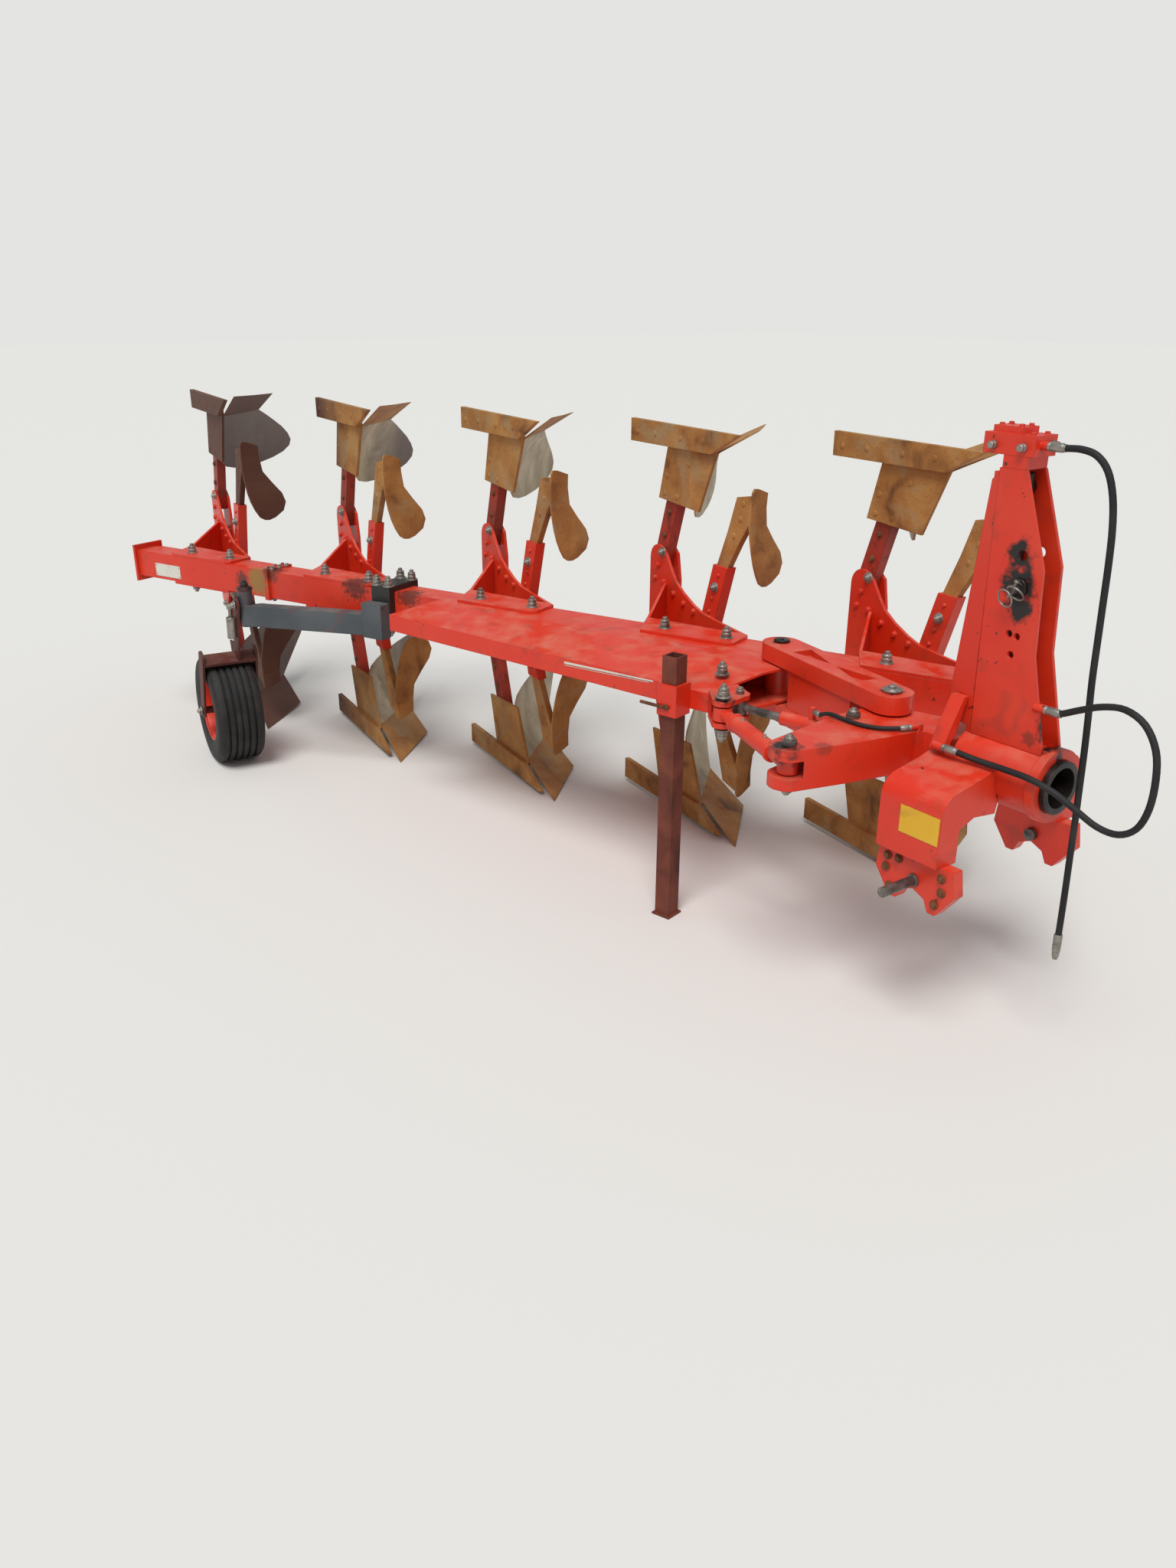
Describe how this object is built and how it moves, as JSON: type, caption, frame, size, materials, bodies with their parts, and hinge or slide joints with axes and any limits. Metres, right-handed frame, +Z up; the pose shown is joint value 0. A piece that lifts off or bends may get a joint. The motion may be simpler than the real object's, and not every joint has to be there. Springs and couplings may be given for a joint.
{
  "type": "mounted reversible moldboard plough",
  "caption": "Fully mounted reversible moldboard plough: turnover headstock, swinging link, slanted beam with paired bodies and skimmers, stand and swing-over depth wheel.",
  "frame": {"origin": "on the ground below the middle of the plough's box", "axes": "+X forward to the tractor, +Y to the left, +Z up"},
  "size_m": [6.1249, 2.8466, 2.086],
  "materials": {
    "bare_steel": "bare machined steel, dull",
    "black_paint": "satin enamel",
    "grey_paint": "zinc and dust, dull",
    "hose": "hydraulic hose, dusty",
    "old_red_paint": "enamel, dark with dirt",
    "red_paint": "enamel, faded and dusty, with chips down to rust",
    "rusty_steel": "rusted steel tube",
    "tyre": "ribbed rubber, dusty",
    "worn_steel": "bare steel, rusted brown, scoured by soil"
  },
  "bodies": {
    "headstock": {"axle_housing": "red_paint", "tower": "red_paint", "lower_arms": "red_paint", "hitch_brackets": "red_paint", "hitch_pins": "bare_steel", "top_link_pin": "bare_steel", "valve_block": "red_paint", "turnover_cylinder": "black_paint", "turnover_rod": "bare_steel", "loop_hose": "hose", "tractor_hose": "hose"},
    "turnover": {"turnover_shaft": "bare_steel", "turnover_arm": "red_paint", "arm_pins": "bare_steel", "offset_hose": "hose"},
    "link": {"link_arm": "red_paint", "link_pins": "bare_steel"},
    "beam": {"main_beam": "red_paint", "wing_box": "red_paint", "front_bracket": "red_paint", "bracket_pins": "bare_steel", "tail_extension": "red_paint", "stand_holder": "red_paint", "consoles": "red_paint", "upper_legs": "red_paint", "lower_legs": "red_paint", "upper_landsides": "worn_steel", "lower_landsides": "worn_steel", "upper_moldboards": "worn_steel", "lower_moldboards": "worn_steel", "upper_shares": "worn_steel", "lower_shares": "worn_steel", "upper_skimmer_holders": "red_paint", "lower_skimmer_holders": "red_paint", "upper_skimmers": "worn_steel", "lower_skimmers": "worn_steel", "wheel_clamp": "grey_paint", "wheel_arm": "grey_paint"},
    "turnbuckle": {"turnbuckle_tube": "red_paint"},
    "offset_barrel": {"offset_barrel": "red_paint"},
    "offset_rod": {"offset_rod": "bare_steel"},
    "stand": {"stand_leg": "rusty_steel"},
    "wheel_carrier": {"wheel_fork": "old_red_paint"},
    "wheel": {"wheel_rim": "grey_paint", "wheel_tyre": "tyre"}
  },
  "joints": [
    {"name": "turnover", "type": "hinge", "parent": "headstock", "child": "turnover", "pos_m": [2.16783, 0.03771, 0.965], "axis": [1, 0, 0], "range_deg": [0, 180]},
    {"name": "link_swing", "type": "hinge", "parent": "turnover", "child": "link", "pos_m": [2.16783, 0.00771, 0.965], "axis": [0, 0, 1], "range_deg": [-8, 8]},
    {"name": "beam_swing", "type": "hinge", "parent": "link", "child": "beam", "pos_m": [1.44783, 0.14771, 0.965], "axis": [0, 0, 1], "range_deg": [-9.9, 9.9]},
    {"name": "turnbuckle_swing", "type": "hinge", "parent": "beam", "child": "turnbuckle", "pos_m": [1.66783, -0.36729, 0.965], "axis": [0, 0, 1], "range_deg": [-13.3, 13.3]},
    {"name": "barrel_swing", "type": "hinge", "parent": "turnover", "child": "offset_barrel", "pos_m": [2.13783, -0.15729, 0.965], "axis": [0, 0, 1], "range_deg": [-11.3, 11.3]},
    {"name": "rod_slide", "type": "slide", "parent": "offset_barrel", "child": "offset_rod", "axis": [-0.9778, -0.2095, 0], "range_m": [-0.055, 0.055]},
    {"name": "stand_slide", "type": "slide", "parent": "beam", "child": "stand", "axis": [0, 0, 1], "range_m": [0, 0.5]},
    {"name": "wheel_swing", "type": "hinge", "parent": "beam", "child": "wheel_carrier", "pos_m": [-1.20717, -1.18429, 0.925], "axis": [0.1219, 0.9925, 0], "range_deg": [-226, 0]},
    {"name": "wheel_spin", "type": "hinge", "parent": "wheel_carrier", "child": "wheel", "pos_m": [-1.44169, -1.25625, 0.3], "axis": [0.1219, 0.9925, 0], "continuous": true}
  ],
  "couplings": [
    {"joint": "beam_swing", "follows": "link_swing", "ratio": -1.2264},
    {"joint": "turnbuckle_swing", "follows": "link_swing", "ratio": 1.652},
    {"joint": "barrel_swing", "follows": "link_swing", "ratio": 1.3959},
    {"joint": "rod_slide", "follows": "link_swing", "m_per_rad": 0.38801}
  ]
}
